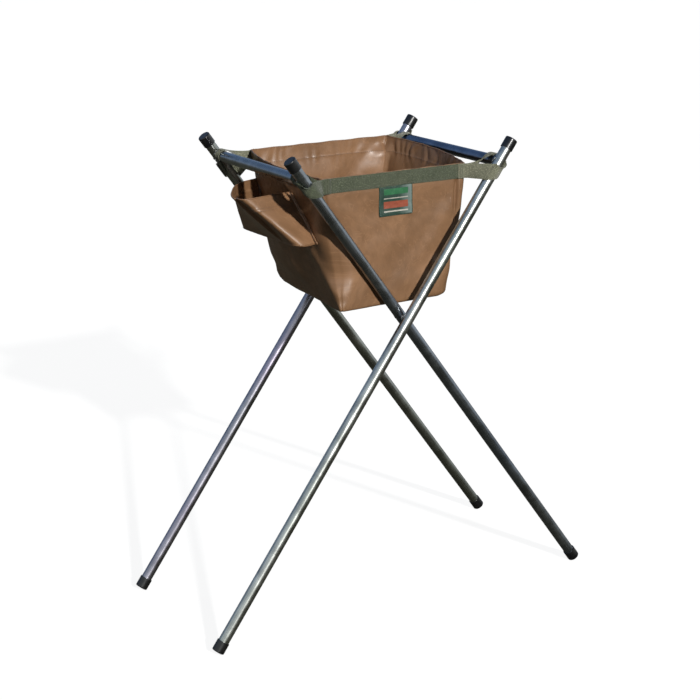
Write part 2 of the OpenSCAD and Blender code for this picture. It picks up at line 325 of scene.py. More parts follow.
def cap_look():
    """Black moulded plastic with a fine grain, dusty patches and small scuffs."""
    look = Look("black_cap_plastic", Specular_IOR_Level=0.5, IOR=1.5)
    point = look.object_point()
    grain = look.noise(point, 1500.0, 2.0)
    dust = look.noise(point, 55.0, 5.0, 0.6)
    scuffs = look.noise(look.object_point(scale=(1, 1, 5)), 210.0, 3.0)
    colour = look.ramp(dust, (0.45, (0.004, 0.004, 0.005)), (0.8, (0.016, 0.016, 0.015)))
    colour = look.blend(look.ramp(scuffs, (0.68, 0.0), (0.78, 0.5)), colour, (0.05, 0.05, 0.048))
    bump = look.bump(grain, 0.05 * MM, 0.5, look.bump(scuffs, 0.1 * MM, 0.3))
    return look.surface(colour, look.scaled(dust, 0.34, 0.12), bump)


def nylon_look():
    look = Look("nylon", Subsurface_Weight=0.1, Subsurface_Scale=0.002)
    grain = look.noise(look.object_point(), 700.0, 3.0)
    colour = look.ramp(grain, (0.3, (0.6, 0.6, 0.55)), (0.7, (0.74, 0.74, 0.7)))
    return look.surface(colour, look.scaled(grain, 0.2, 0.4), look.bump(grain, 0.05 * MM, 0.4))


def fabric_look(name, tone):
    """Brown coated fabric: a satin coat over a fine plain weave, with soft creases and rubbed places."""
    look = Look(name, Specular_IOR_Level=0.55, Coat_Weight=0.22, Coat_Roughness=0.30)
    u, v, point = look.along()
    weave_pitch = 1.15 * MM
    weave = look.math("MULTIPLY", look.wave(u, weave_pitch), look.wave(v, weave_pitch))
    clouds = look.noise(point, 9.0, 4.0, 0.6)
    mottle = look.noise(point, 70.0, 4.0, 0.6)
    creases = look.noise(point, 26.0, 3.0, 0.5, 1.4)
    fine = look.noise(point, 260.0, 4.0, 0.6)
    dark, light = shade(tone, 0.74), shade(tone, 1.2, 0.012)
    colour = look.blend(look.ramp(clouds, (0.32, 0.0), (0.7, 1.0)), dark, light)
    colour = look.blend(look.ramp(mottle, (0.35, 0.3), (0.62, 0.0)), colour, shade(tone, 0.6))
    rubbed = look.ramp(creases, (0.485, 0.0), (0.5, 0.28), (0.515, 0.0))
    colour = look.blend(rubbed, colour, shade(tone, 1.5, 0.03))
    roughness = look.scaled(clouds, 0.14, look.scaled(fine, 0.08, 0.36))
    bump = look.bump(fine, 0.12 * MM, 0.4, look.bump(weave, 0.06 * MM, 0.35))
    return look.surface(colour, roughness, look.bump(creases, 1.1 * MM, 0.5, bump))


def webbing_look(name, tone, light):
    """Ribbed webbing: cross ribs with a fine twill over them, painted shade in the grooves between them, and
    threads that have faded unevenly.
    """
    look = Look(name, Sheen_Weight=0.25, Sheen_Roughness=0.45, Specular_IOR_Level=0.35)
    u, v, point = look.along()
    rib_pitch, twill_pitch = 2.5 * MM, 1.25 * MM
    ribs = look.scaled(look.wave(u, rib_pitch), 0.5, 0.5)
    threads = look.scaled(look.wave(look.scaled(u, 1.6, v), twill_pitch), 0.5, 0.5)
    fade = look.noise(point, 45.0, 5.0, 0.65)
    fleck = look.noise(point, 480.0, 3.0, 0.75)
    colour = look.blend(look.ramp(fade, (0.35, 0.0), (0.68, 1.0)), tone, light)
    # Painted shade: the grooves between the ribs and between the twill's threads are darkened
    colour = look.blend(look.ramp(ribs, (0.05, 0.72), (0.5, 0.0)), colour, shade(tone, 0.34))
    colour = look.blend(look.ramp(threads, (0.1, 0.5), (0.45, 0.0)), colour, shade(tone, 0.38))
    colour = look.blend(look.ramp(fleck, (0.53, 0.0), (0.66, 0.7)), colour, shade(light, 1.9))
    bump = look.bump(look.scaled(threads, 0.45, ribs), 0.5 * MM, 0.8)
    return look.surface(colour, look.scaled(fade, 0.2, 0.62), look.bump(fleck, 0.15 * MM, 0.5, bump))


def thread_look(name, tone):
    look = Look(name, Sheen_Weight=0.2, Specular_IOR_Level=0.4)
    twist = look.noise(look.object_point(), 1400.0, 2.0)
    colour = look.ramp(twist, (0.3, shade(tone, 0.6)), (0.7, shade(tone, 1.25)))
    return look.surface(colour, look.scaled(twist, 0.2, 0.5), look.bump(twist, 0.1 * MM, 0.6))


def label_look(width, height):
    """Woven patch: a dark green field with plain coloured bands, in satin-faced threads, and a painted glare
    that pales it towards the right.
    """
    look = Look("woven_label", Sheen_Weight=0.2, Specular_IOR_Level=0.5)
    u, v, point = look.along()
    across = look.math("DIVIDE", u, width)
    up = look.math("DIVIDE", v, height)
    field, pale, rust = (0.012, 0.052, 0.032), (0.20, 0.27, 0.245), (0.36, 0.075, 0.03)
    leaf, cream = (0.02, 0.17, 0.06), (0.62, 0.6, 0.52)
    # Painted glare: the field turns pale grey towards the right
    colour = look.blend(look.ramp(across, (0.0, 0.0), (0.62, 0.0), (0.93, 1.0)), field, pale)
    # Each band's lower edge, as a share of the way up, and its colour. The field shows where there is none
    stripes = ((0.0, None), (0.11, cream), (0.16, None), (0.24, rust), (0.47, None), (0.56, cream),
               (0.59, None), (0.70, leaf), (0.90, None))
    stops = [(place, (*tone, 1.0) if tone else (0, 0, 0, 0)) for place, tone in stripes]
    bands = look.ramp_node(up, stops, "CONSTANT")
    margin = 0.13
    inside = look.math("MULTIPLY", look.math("GREATER_THAN", across, margin),
                       look.math("LESS_THAN", across, 1 - margin))
    shown = look.math("MULTIPLY", bands.outputs[1], inside)
    colour = look.blend(shown, colour, bands.outputs[0])
    weave = look.math("MULTIPLY", look.wave(u, 0.62 * MM), look.wave(v, 0.8 * MM))
    faded = look.ramp(look.noise(point, 130.0, 4.0), (0.3, 0.72), (0.7, 1.0))
    colour = look.blend(1.0, colour, faded, "MULTIPLY")
    return look.surface(colour, look.scaled(weave, 0.08, 0.42), look.bump(weave, 0.12 * MM, 0.6))


BROWN = (0.262, 0.136, 0.062)
basin_fabric = fabric_look("coated_fabric", BROWN)
pocket_fabric = fabric_look("pocket_fabric", shade(BROWN, 1.06))
olive_webbing = webbing_look("olive_webbing", (0.070, 0.086, 0.048), (0.125, 0.145, 0.090))
# A lighter copy of the olive webbing, with painted light, for the corner straps that the light falls on
painted_lit_webbing = webbing_look("painted_lit_webbing", (0.200, 0.205, 0.135), (0.300, 0.305, 0.215))
brown_thread = thread_look("brown_thread", (0.20, 0.12, 0.075))
olive_thread = thread_look("olive_thread", (0.12, 0.13, 0.085))


# ---- Frames ----------------------------------------------------------------------------------------
# Lean, colour, tint of the dull patches and noise seed of each tube. Colour and tint are partly painted
# reflection

# Painted reflection: the right rail's dark blue and the blue tints paint the sky the tubes mirror, and the
# right frame's paler front leg paints its bright highlight
tube_looks_painted_reflection = {
    "left_frame_front_leg": (LEAN, (0.40, 0.43, 0.46), (0.22, 0.27, 0.36), 1.3),
    "left_frame_rear_leg": (LEAN, (0.46, 0.47, 0.44), (0.33, 0.34, 0.27), 2.1),
    "right_frame_front_leg": (-LEAN, (0.56, 0.57, 0.54), (0.38, 0.42, 0.36), 3.7),
    "right_frame_rear_leg": (-LEAN, (0.46, 0.46, 0.50), (0.34, 0.29, 0.38), 4.9),
    "left_rail": (0.0, (0.42, 0.45, 0.48), (0.25, 0.31, 0.38), 5.3),
    "right_rail": (0.0, (0.24, 0.30, 0.40), (0.10, 0.15, 0.26), 6.1),
}


def dress(node, look):
    mesh = nodes[node].data
    mesh.materials.clear()
    mesh.materials.append(look)


for node, (lean, tone, tint, seed) in tube_looks_painted_reflection.items():
    dress(node, steel_look("zinc_" + node, lean, tone, tint, seed))
endings = {("_top_cap", "_foot"): cap_look(), ("_stud", "_washer", "_nut"): fastener_look(),
           ("_spacer",): nylon_look()}
for ending, look in endings.items():
    for node in nodes:
        if node.endswith(ending):
            dress(node, look)


# ---- Basin shell -----------------------------------------------------------------------------------
# Corners run front left, front right, rear right, rear left. The side after a corner has the corner's number.

def plan_corners(front, rear):
    plan = ((front[0], -FACE_Y), (front[1], -FACE_Y), (rear[1], FACE_Y), (rear[0], FACE_Y))
    return [Vector(corner) for corner in plan]


RIM_CORNERS, FOOT_CORNERS = plan_corners(front_rim, rear_rim), plan_corners(front_foot, rear_foot)
# Upright rounding of each corner, in mm, from the rim (0) to the floor (1)
CORNER_ROUND = [
    [(0.0, 5), (0.15, 16), (0.45, 44), (0.75, 46), (0.93, 18), (1.0, 7)],
    [(0.0, 4), (0.5, 7), (0.8, 15), (1.0, 26)],
    [(0.0, 5), (0.6, 10), (1.0, 24)],
    [(0.0, 7), (0.35, 22), (0.7, 32), (1.0, 42)],
]
# Rounding of the edge round the floor at each corner and in the middle of each side, in mm
EDGE_ROUND = [5, 7, 13, 11, 12, 10, 32, 14]
SIDE_STEPS, CORNER_STEPS = 84, 12
WALL_ROWS, EDGE_ROWS, FLOOR_ROWS = 50, 5, 22
HEM = 25 * MM
FLOOR_SAG = 6 * MM
# The legs that pass close by the front and the rear panel as the stand folds leave them this room to bulge
LEG_ROOM = 0.5 * MM


def rim_height(y):
    return mix(FRONT_RIM, REAR_RIM, (y + FACE_Y) / (2 * FACE_Y))


def outline(down):
    """Plan points round the basin at a share of the way down, each with its place round it from 0 to 4."""
    corners = [a.lerp(b, down) for a, b in zip(RIM_CORNERS, FOOT_CORNERS)]
    bulges = [0.0, BULGE * (1 - down), 0.0, BULGE * (1 - down)]

    def on_side(i, f):
        a, b = corners[i], corners[(i + 1) % 4]
        d = (b - a).normalized()
        return a.lerp(b, f) + Vector((d.y, -d.x)) * bulges[i] * 4 * f * (1 - f)

    points = []
    for i in range(4):
        j = (i + 1) % 4
        size = (corners[j] - corners[i]).length
        next_size = (corners[(j + 1) % 4] - corners[j]).length
        start = between(CORNER_ROUND[i], down) * MM / size
        radius = between(CORNER_ROUND[j], down) * MM
        end = 1 - radius / size
        for k in range(SIDE_STEPS):
            share = k / SIDE_STEPS
            share = mix(share, 0.5 - 0.5 * math.cos(math.pi * share), 0.65)
            f = mix(start, end, share)
            points.append((on_side(i, f), i + f))
        a, b, c = on_side(i, end), corners[j], on_side(j, radius / next_size)
        for k in range(CORNER_STEPS):
            t = k / CORNER_STEPS
            before = i + mix(end, 1.0, t * 2)
            after = (j + (t * 2 - 1) * radius / next_size) % 4
            points.append((bend(a, b, c, t), before if t < 0.5 else after))
    return points


# Soft folds: panel side, start and end as (along, down) shares of the panel, width and height in mm
FOLDS = [
    (0, (0.04, 0.12), (0.42, 0.62), 16, 1.7), (0, (0.97, 0.12), (0.60, 0.66), 15, -0.5),
    (0, (0.93, 0.30), (0.66, 0.98), 13, 0.4), (0, (0.50, 0.35), (0.78, 0.80), 22, -1.4),
    (0, (0.14, 0.50), (0.10, 0.98), 9, 1.6), (0, (0.80, 0.72), (0.97, 0.95), 10, 2.2),
    (0, (0.30, 0.20), (0.34, 0.55), 18, -1.2), (0, (0.45, 0.80), (0.70, 0.93), 12, 1.2),
    (1, (0.08, 0.10), (0.50, 0.62), 16, 2.0), (1, (0.95, 0.10), (0.55, 0.55), 18, -2.2),
    (1, (0.30, 0.60), (0.72, 0.92), 14, 2.0), (1, (0.62, 0.15), (0.66, 0.80), 15, -1.6),
    (2, (0.05, 0.12), (0.40, 0.60), 16, -2.2), (2, (0.95, 0.12), (0.62, 0.62), 16, 2.0),
    (2, (0.20, 0.55), (0.55, 0.92), 14, 1.8), (2, (0.70, 0.30), (0.74, 0.90), 15, -1.6),
    (3, (0.06, 0.12), (0.45, 0.60), 16, 2.2), (3, (0.92, 0.10), (0.60, 0.70), 16, -2.4),
    (3, (0.70, 0.55), (0.96, 0.90), 12, 2.6), (3, (0.25, 0.55), (0.60, 0.93), 14, 2.0),
]


def fold_height(side, along, down):
    """Height of the folds, in metres, at a place on a panel."""
    height = 0.0
    for panel, a, b, width, size in FOLDS:
        if panel != side:
            continue
        ax, ay, bx, by = a[0] * PANEL_W, a[1] * PANEL_H, b[0] * PANEL_W, b[1] * PANEL_H
        px, py = along * PANEL_W - ax, down * PANEL_H - ay
        dx, dy = bx - ax, by - ay
        size_2 = dx * dx + dy * dy
        t = (px * dx + py * dy) / size_2
        off = abs(px * dy - py * dx) / math.sqrt(size_2)
        height += size * MM * bell(off, width * MM) * ease(-0.1, 0.25, t) * (1 - ease(0.75, 1.15, t))
    return height


def leg_beside(x, z, front):
    """How near a point of the front or rear panel is to the leg beside it: 1 at the leg, 0 far from it."""
    leg_x = (z - PIVOT_Z) * math.tan(LEAN) * (-1 if front else 1)
    return bell(x - leg_x, 30 * MM)


def rear_slack(side, around, along, down, depth):
    """How far inwards the slack rear panel hangs, most of all towards its left end."""
    hang = 0.0
    if side == 2:
        amount = mix(4, 11, ease(0.30, 0.75, along)) * MM * ease(0.22, 0.40, along) * ease(1.0, 0.88, along)
        hang = amount * ease(4 * MM, 78 * MM, depth) * (1 - ease(0.45, 0.95, down))
    # Near its right end it is drawn in towards the corner, and faces the light
    past_corner = (around - 2) * PANEL_W
    drawn = (1 - ease(4 * MM, 58 * MM, past_corner)) * ease(-22 * MM, 0, past_corner)
    return hang + 15 * MM * drawn * ease(8 * MM, 34 * MM, depth) * (1 - ease(78 * MM, 150 * MM, depth))


def side_bow(side, along, down):
    """How far outwards the right and the left panel bow at a place."""
    if side == 1:
        # Outwards close behind the seam with the front panel, and inwards further back
        bow = 6.0 * MM * ease(0.0, 0.035, along) * (1 - ease(0.05, 0.35, along))
        bow *= ease(0.03, 0.15, down) * (1 - ease(0.45, 0.8, down))
        return bow - 3.5 * MM * ease(0.25, 0.6, along) * ease(0.05, 0.3, down) * (1 - ease(0.7, 1.0, down))
    if side == 3:
        return 7.0 * MM * bell(along - 0.3, 0.3) * ease(0.3, 0.65, down) * (1 - ease(0.85, 1.0, down))
    return 0.0


def hem_pucker(point, side, around, depth):
    """Puckers about the hem's stitching, where the thread draws the cloth together, and its groove."""
    pucker = math.sin(2 * math.pi * around * 13 + 9 * rough_noise(point, 22.0, 1.3))
    pucker *= 0.6 + 0.9 * rough_noise(point, 30.0, 6.2)
    size = 0.35 if side == 0 else 1.5
    return size * MM * pucker * bell(depth - 0.7 * HEM, 0.75 * HEM) - 0.4 * MM * bell(depth - HEM, 1.6 * MM)


def shell_shift(point, around, down):
    """How far outwards the fabric stands from its plain shape, in metres."""
    side, along = int(around) % 4, around - int(around)
    depth = rim_height(point.y) - point.z
    from_edge = min(along, 1 - along) * PANEL_W
    free = ease(24 * MM, 60 * MM, depth) if side in (0, 2) else ease(0, 45 * MM, depth)
    shift = fold_height(side, along, down) * ease(0.0, 25 * MM, from_edge)
    shift += 2.2 * MM * rough_noise(point, 14.0, 3.1) + 1.1 * MM * rough_noise(point, 34.0, 7.7)
    shift *= free
    shift -= rear_slack(side, around, along, down, depth)
    shift += side_bow(side, along, down)
    shift += hem_pucker(point, side, around, depth)
    if side == 0:
        # A sharp crease runs down beside the right-hand seam
        from_right, crease = (1 - along) * PANEL_W, mix(12.0, 4.5, ease(0.08, 0.5, down)) * MM
        held = ease(20 * MM, 34 * MM, depth) * (1 - ease(0.45, 0.62, down))
        shift -= 6.5 * MM * bell(from_right - crease, 3.4 * MM) * held
        shift += 1.5 * MM * (1 - ease(crease, crease + 3 * MM, from_right)) * held
    # The seams at the upright corners draw in
    groove = (2.4 if 0.5 < around < 2 else 1.0) * MM
    shift -= groove * bell(from_edge, 2.6 * MM) * ease(0, 20 * MM, depth)
    if side in (0, 2):
        shift -= 1.3 * MM * free
        near = leg_beside(point.x, point.z, side == 0)
        shift = min(shift, 0.0) + max(shift, 0.0) * (1 - near) - 0.9 * MM * near * free
        if shift > 0:
            shift = LEG_ROOM * math.tanh(shift / LEG_ROOM)
    return shift


def edge_round(around):
    """Rounding of the floor's edge, in metres, at a place round the basin."""
    place = around * 2
    k = int(place) % 8
    return mix(EDGE_ROUND[k], EDGE_ROUND[(k + 1) % 8], ease(0, 1, place - int(place))) * MM


def build_shell():
    """Rows of points down the sides, round the floor's edge and in over the floor, and their places."""
    # Closer rows, in mm below the rim, about the hem's stitching, then even ones
    depths = [0, 1.2, 4, 8, 12, 16, 20, 22.5, 23.8, 24.6, 25.4, 26.2, 27.5, 30]
    shares = [d * MM / (REAR_RIM - FLOOR_Z) for d in depths]
    shares += [mix(shares[-1], 1.0, (k + 1) / WALL_ROWS) for k in range(WALL_ROWS)]
    rows = []
    for down in shares:
        plan = outline(down)
        row = []
        for k, (p, around) in enumerate(plan):
            tangent = (plan[(k + 1) % len(plan)][0] - plan[k - 1][0]).normalized()
            normal = Vector((tangent.y, -tangent.x, 0))
            point = Vector((p.x, p.y, mix(rim_height(p.y), FLOOR_Z + edge_round(around), down)))
            row.append(point + normal * shell_shift(point, around, down))
        rows.append(row)
    places = [around for _, around in plan]
    edge = rows[-1]
    middle = sum(edge, Vector()) / len(edge)
    for k in range(1, EDGE_ROWS + 1):
        turn = math.pi / 2 * k / EDGE_ROWS
        row = []
        for point, around in zip(edge, places):
            size = edge_round(around)
            moved = point + (middle - point).normalized() * size * (1 - math.cos(turn))
            moved.z = point.z - size * math.sin(turn)
            row.append(moved)
        rows.append(row)
    last = rows[-1]
    for k in range(1, FLOOR_ROWS):
        share = k / FLOOR_ROWS
        row = []
        for point in last:
            moved = point.lerp(Vector((middle.x, middle.y, FLOOR_Z)), share)
            ripple = 1.6 * MM * rough_noise(moved, 20.0, 9.0) * ease(0, 0.2, share)
            moved.z = FLOOR_Z - FLOOR_SAG * (1 - (1 - share) ** 2) + ripple
            row.append(moved)
        rows.append(row)
    return rows, places


shell_rows, shell_places = build_shell()
columns = len(shell_rows[0])
round_lengths = lengths_along(shell_rows[0] + [shell_rows[0][0]])
down_lengths = lengths_along([row[columns // 8] for row in shell_rows])
shell_points, shell_faces, shell_uvs = grid(shell_rows, round_lengths, down_lengths, closed=True)
# The floor closes in a fan round its centre
shell_points.append(sum(shell_rows[-1], Vector()) / columns)
first, v = (len(shell_rows) - 1) * columns, down_lengths[-1]
for c in range(columns):
    shell_faces.append((first + c, len(shell_points) - 1, first + (c + 1) % columns))
    shell_uvs.append(((round_lengths[c], v), (round_lengths[c], v + 5 * MM), (round_lengths[c + 1], v)))
shell = piece("basin_shell", shell_points, shell_faces, shell_uvs, basin_fabric, "coated_fabric")
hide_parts("front_panel", "rear_panel", "left_panel", "right_panel", "floor_panel")
solidify(shell, FABRIC_T, -1.0)
soft(shell)


def shell_at(column, depth):
    """Point on the outer face, at a column and a depth below the rim, and the directions out and along."""
    c = int(column) % columns
    d = (c + 1) % columns
    f = column - int(column)
    for r in range(1, len(shell_rows)):
        drop = shell_rows[0][c].z - shell_rows[r][c].z
        if drop >= depth:
            break
    above = shell_rows[0][c].z - shell_rows[r - 1][c].z
    g = (depth - above) / max(drop - above, 1e-9)
    upper = shell_rows[r - 1][c].lerp(shell_rows[r - 1][d], f)
    lower = shell_rows[r][c].lerp(shell_rows[r][d], f)
    along = (shell_rows[r][d] - shell_rows[r][c]).normalized()
    normal = along.cross(upper - lower).normalized()
    return upper.lerp(lower, g), normal, along


# ---- Tubes and stitches ----------------------------------------------------------------------------

def tube_mesh(points, radius, sides=8, closed=False, radii=None):
    """Vertices, faces and corner UVs of a tube along points."""
    n = len(points)
    verts = []
    reference = Vector((0, 0, 1))
    for k, p in enumerate(points):
        a = points[k - 1] if closed or k else p
        b = points[(k + 1) % n] if closed or k < n - 1 else p
        tangent = (b - a).normalized()
        side = tangent.cross(reference)
        if side.length < 0.2:
            side = tangent.cross(Vector((1, 0, 0)))
        side.normalize()
        other = side.cross(tangent)
        r = radii[k] if radii else radius
        verts += [p + (side * math.cos(t) + other * math.sin(t)) * r
                  for t in (2 * math.pi * s / sides for s in range(sides))]
    faces, uvs = [], []
    run = lengths_along(list(points) + ([points[0]] if closed else []))
    for k in range(n if closed else n - 1):
        m = (k + 1) % n
        for s in range(sides):
            t = (s + 1) % sides
            faces.append((k * sides + s, k * sides + t, m * sides + t, m * sides + s))
            va, vb = 2 * math.pi * radius * s / sides, 2 * math.pi * radius * (s + 1) / sides
            uvs.append(((run[k], va), (run[k], vb), (run[k + 1], vb), (run[k + 1], va)))
    if not closed:
        faces += [tuple(reversed(range(sides))), tuple(range((n - 1) * sides, n * sides))]
        uvs += [tuple((0.0, 0.0) for _ in range(sides))] * 2
    return verts, faces, uvs


def stitches(name, marks, look, slot_name, length=2.6 * MM, radius=0.42 * MM):
    """Short threads at (point, direction, normal) marks, as one piece."""
    verts, faces = [], []
    # Place along a thread and thickness there, and the number of its sides
    shape = ((-0.5, 0.35), (-0.36, 0.85), (0.0, 1.0), (0.36, 0.85), (0.5, 0.35))
    sides = 6
    for point, direction, normal in marks:
        side = direction.cross(normal).normalized()
        up = side.cross(direction).normalized()
        start = len(verts)
        for place, size in shape:
            lift = 0.45 * radius * (1 - (2 * place) ** 2)
            middle = point + direction * place * length + up * lift
            verts += [middle + (side * math.cos(t) + up * 0.75 * math.sin(t)) * radius * size
                      for t in (2 * math.pi * s / sides for s in range(sides))]
        last = start + (len(shape) - 1) * sides
        for a in range(start, last, sides):
            b = a + sides
            faces += [(a + s, a + (s + 1) % sides, b + (s + 1) % sides, b + s) for s in range(sides)]
        faces += [tuple(start + s for s in reversed(range(sides))), tuple(last + s for s in range(sides))]
    return outward(piece(name, verts, faces, None, look, slot_name))


rim_path = [p + Vector((0, 0, 0.4 * MM * math.sin(40 * place) + 0.3 * MM))
            for p, place in zip(shell_rows[0], shell_places)]
RIM_FOLD_R, RIM_FOLD_INSET = 1.15 * MM, 0.5 * MM
rim_inset = []
for k, p in enumerate(rim_path):
    tangent = (rim_path[(k + 1) % columns] - rim_path[k - 1]).normalized()
    rim_inset.append(p - Vector((tangent.y, -tangent.x, 0)) * RIM_FOLD_INSET)
rim_tube = tube_mesh(rim_inset, RIM_FOLD_R, closed=True)
soft(outward(piece("basin_rim_fold", *rim_tube, basin_fabric, "coated_fabric")))

HEM_PITCH = 3.9 * MM
hem_marks = []
run = 0.0
for c in range(columns):
    size = round_lengths[c + 1] - round_lengths[c]
    while run < round_lengths[c + 1]:
        point, normal, along = shell_at(c + (run - round_lengths[c]) / size, HEM)
        hem_marks.append((point - normal * (FABRIC_T + 0.1 * MM), along, -normal))
        # The straps hide the outside of the front and the rear hem
        if shell_places[c] % 4 > 3 or 1 < shell_places[c] < 2:
            hem_marks.append((point + normal * 0.1 * MM, along, normal))
        run += HEM_PITCH
soft(stitches("basin_hem_stitches", hem_marks, brown_thread, "coated_fabric"))


# ---- Straps ----------------------------------------------------------------------------------------
# A band is a strip of webbing: rows of (top point, bottom point, outward direction) along it.

BAND_STEPS = 10


def band_mesh(rows, skew=0.0, fit=None):
    """Vertices, faces and corner UVs of a closed strip with softly rounded edges.

    The top edge's UVs start at skew, for a slanted first row. fit(point, lift) may move each point."""
    verts = []
    for top, bottom, normal in rows:
        for layer in (1, 0):
            order = range(BAND_STEPS + 1) if layer else reversed(range(BAND_STEPS + 1))
            for k in order:
                w = mix(k / BAND_STEPS, 0.5 - 0.5 * math.cos(math.pi * k / BAND_STEPS), 0.5)
                thin = 0.5 * (1 - abs(2 * w - 1) ** 10)
                lift = WEB_T * (0.5 + thin if layer else 0.5 - thin)
                place = top.lerp(bottom, w) + normal * lift
                verts.append(fit(place, lift) if fit else place)
    ring = 2 * (BAND_STEPS + 1)
    top_run = [skew + d for d in lengths_along([top for top, _, _ in rows])]
    low_run = lengths_along([bottom for _, bottom, _ in rows])
    shares = [k / BAND_STEPS for k in range(BAND_STEPS + 1)]
    shares += list(reversed(shares))

    def uv(r, s, past=0.0):
        return mix(top_run[r], low_run[r], shares[s]) + past, WEB_W * shares[s]

    faces, uvs = [], []
    for r in range(len(rows) - 1):
        for s in range(ring):
            t = (s + 1) % ring
            faces.append((r * ring + s, r * ring + t, (r + 1) * ring + t, (r + 1) * ring + s))
            uvs.append((uv(r, s), uv(r, t), uv(r + 1, t), uv(r + 1, s)))
    for r in (0, len(rows) - 1):
        order = range(ring) if r else range(ring - 1, -1, -1)
        faces.append(tuple(r * ring + s for s in order))
        uvs.append(tuple(uv(r, s, s // (BAND_STEPS + 1) * WEB_T) for s in order))
    return verts, faces, uvs


def joined(parts):
    verts, faces, uvs = [], [], []
    for part_verts, part_faces, part_uvs in parts:
        start = len(verts)
        verts += part_verts
        faces += [tuple(start + i for i in face) for face in part_faces]
        uvs += part_uvs
    return verts, faces, uvs


class Corner:
    """One corner of the basin. Its points are worked out at the front left, then turned or mirrored."""

    def __init__(self, name, body, sign_x, sign_y, leg_y, rim_x, rim_z, drop=0.0):
        self.name, self.body = name, body
        self.sign_x, self.sign_y = sign_x, sign_y
        self.leg_y, self.rim_x, self.rim_z = leg_y, rim_x, rim_z
        self.leg_z = rim_z - drop

    def place(self, point):
        return Vector((self.sign_x * point.x, self.sign_y * point.y, point.z))

    def level_round_leg(self, z, lift, angle):
        """A point on webbing round the leg, at a height and an angle of the leg's level section."""
        reach = TUBE_R + WEB_GAP + lift
        return Vector((-(z - PIVOT_Z) * math.tan(LEAN) + reach / math.cos(LEAN) * math.cos(angle),
                       -self.leg_y + reach * math.sin(angle), z))

    def past_front(self, z, lift, travel):
        """A point on webbing that has run on past the front of the leg, climbing it as a helix does."""
        turn = -math.pi / 2 - travel * math.cos(LEAN) / (TUBE_R + WEB_GAP)
        climb = (z - PIVOT_Z) / math.cos(LEAN) + travel * math.sin(LEAN)
        reach = TUBE_R + WEB_GAP + lift
        middle = Vector((0, -self.leg_y, PIVOT_Z)) + Vector((-math.sin(LEAN), 0, math.cos(LEAN))) * climb
        across = Vector((math.cos(LEAN), 0, math.sin(LEAN)))
        return middle + across * reach * math.cos(turn) + Vector((0, reach * math.sin(turn), 0))

    def touch_angle(self, z):
        """Angle at which webbing pulled tight from the rim's corner touches the leg."""
        reach = TUBE_R + WEB_GAP
        corner = Vector((-self.rim_x, -FACE_Y - 0.1 * MM, z)) - self.level_round_leg(z, 0, 0)
        u = corner.x / reach * math.cos(LEAN) + 1
        v = corner.y / reach
        return math.atan2(v, u) - math.acos(1 / math.hypot(u, v))

    def clear_of_tubes(self, point, lift):
        """The point, moved out of the leg and the rail if it lies in either."""
        reach = TUBE_R + WEB_GAP + lift
        lines = ((Vector((-RAIL_X, 0, RAIL_Z)), Vector((0, 1, 0))),
                 (Vector((0, -self.leg_y, PIVOT_Z)), Vector((-math.sin(LEAN), 0, math.cos(LEAN)))))
        for _ in range(3):
            for start, direction in lines:
                off = point - start
                off -= direction * off.dot(direction)
                if off.length < reach:
                    point = point + off.normalized() * (reach - off.length)
        return point

    def on_rail(self, degrees, lift):
        """A row of webbing over the rail: its edge next to the leg, its other edge, and outwards."""
        angle = math.radians(degrees)
        out = Vector((math.cos(angle), 0, math.sin(angle)))
        beside_leg = Vector((-RAIL_X, -self.leg_y + TUBE_R + RAIL_WEB_OFF, RAIL_Z))
        edge = beside_leg + out * (TUBE_R + WEB_GAP + lift)
        return edge, edge + Vector((0, RAIL_WEB_W, 0)), out


def curve_rows(row_a, way_a, row_b, way_b, steps):
    """Rows of webbing on a smooth curve from one row to another, with a direction at each of them."""
    rows = []
    start, end = (row_a[0] + row_a[1]) / 2, (row_b[0] + row_b[1]) / 2
    pull = (end - start).length
    for k in range(1, steps + 1):
        t = k / steps
        a, b = 2 * t ** 3 - 3 * t * t + 1, t ** 3 - 2 * t * t + t
        c, d = 3 * t * t - 2 * t ** 3, t ** 3 - t * t
        middle = start * a + way_a * pull * b + end * c + way_b * pull * d
        slope = (start * (6 * t * t - 6 * t) + way_a * pull * (3 * t * t - 4 * t + 1)
                 + end * (6 * t - 6 * t * t) + way_b * pull * (3 * t * t - 2 * t))
        width = (row_a[1] - row_a[0]).lerp(row_b[1] - row_b[0], ease(0, 1, t))
        out = slope.cross(width).normalized()
        rows.append((middle - width / 2, middle + width / 2, out))
    return rows


# Angles on the rail, in degrees, between which the turn of webbing lies on it, and its returning end
TURN_ON_RAIL = (146, 62)
END_ON_RAIL = (112, 72)
# How far the turn, and the strap that lies on it, run on past the front of the leg
TURN_PAST_LEG, STRAP_PAST_LEG = 23 * MM, 21 * MM
# Rows of the strap that lie level round the leg, and rows that climb it
LEVEL_ROWS, CLIMB_ROWS = 8, 15


def way_round_rail(degrees):
    """Direction in which webbing runs inwards round the rail at an angle."""
    angle = math.radians(degrees)
    return Vector((math.sin(angle), 0, -math.cos(angle)))


def placed_band(corner, rows, skew=0.0):
    verts, faces, uvs = band_mesh(rows, skew, corner.clear_of_tubes)
    return [corner.place(v) for v in verts], faces, uvs


